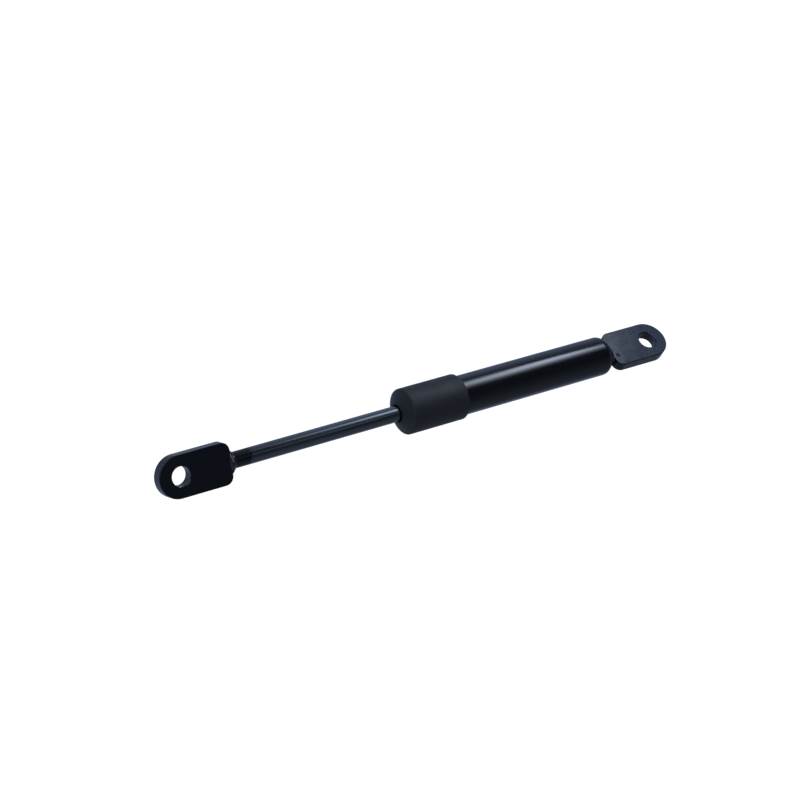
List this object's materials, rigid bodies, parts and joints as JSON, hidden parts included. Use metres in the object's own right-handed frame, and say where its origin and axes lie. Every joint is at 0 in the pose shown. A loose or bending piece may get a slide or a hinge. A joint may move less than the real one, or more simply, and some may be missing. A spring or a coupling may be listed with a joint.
{
  "type": "gas strut stay",
  "caption": "Gas strut stay: a piston rod slides and turns in a sleeved pressure tube, with a flat welded eye at each end.",
  "frame": {"origin": "centre of the rear eye's bore, halfway through the plate", "axes": "+X along the strut from the rear eye to the rod end; +Z along the rear eye's bore"},
  "size_m": [0.2244, 0.0173, 0.0172],
  "materials": {
    "eye_plate": "satin black",
    "weld_bead": "gloss black over weld",
    "tube_paint": "gloss black",
    "sleeve_plastic": "satin black",
    "rod_steel": "dark nitrided, polished",
    "washer_steel": "plain",
    "piston_pack_steel": "plain",
    "plug_steel": "black",
    "guide_aluminium": "machined",
    "piston_aluminium": "machined",
    "liner_bronze": "sintered bronze",
    "ring_plastic": "filled PTFE, off-white",
    "buffer_plastic": "polyurethane",
    "seal_rubber": "nitrile rubber"
  },
  "bodies": {
    "cylinder": {"rear_eye": "eye_plate", "rear_weld_collar": "weld_bead", "rear_plug": "plug_steel", "rear_plug_o_ring": "seal_rubber", "pressure_tube": "tube_paint", "protective_sleeve": "sleeve_plastic", "front_washer": "washer_steel", "wiper_ring": "seal_rubber", "rod_guide": "guide_aluminium", "guide_liner": "liner_bronze", "seal_washer": "washer_steel", "rod_seal": "seal_rubber", "seal_retainer": "washer_steel", "rebound_buffer": "buffer_plastic"},
    "piston_ring": {"piston_ring": "ring_plastic"},
    "rod": {"piston_rod": "rod_steel", "stop_washer": "piston_pack_steel", "piston": "piston_aluminium", "orifice_disc": "piston_pack_steel", "rear_washer": "piston_pack_steel", "front_weld_collar": "weld_bead", "front_eye": "eye_plate"}
  },
  "joints": [
    {"name": "rod_slide", "type": "slide", "parent": "cylinder", "child": "piston_ring", "axis": [-1, 0, 0], "range_m": [0, 0.06], "stiffness_N_per_m": 208, "springref_m": -0.24},
    {"name": "rod_spin", "type": "hinge", "parent": "piston_ring", "child": "rod", "pos_m": [0.0955, 0, 0], "axis": [1, 0, 0], "continuous": true}
  ]
}
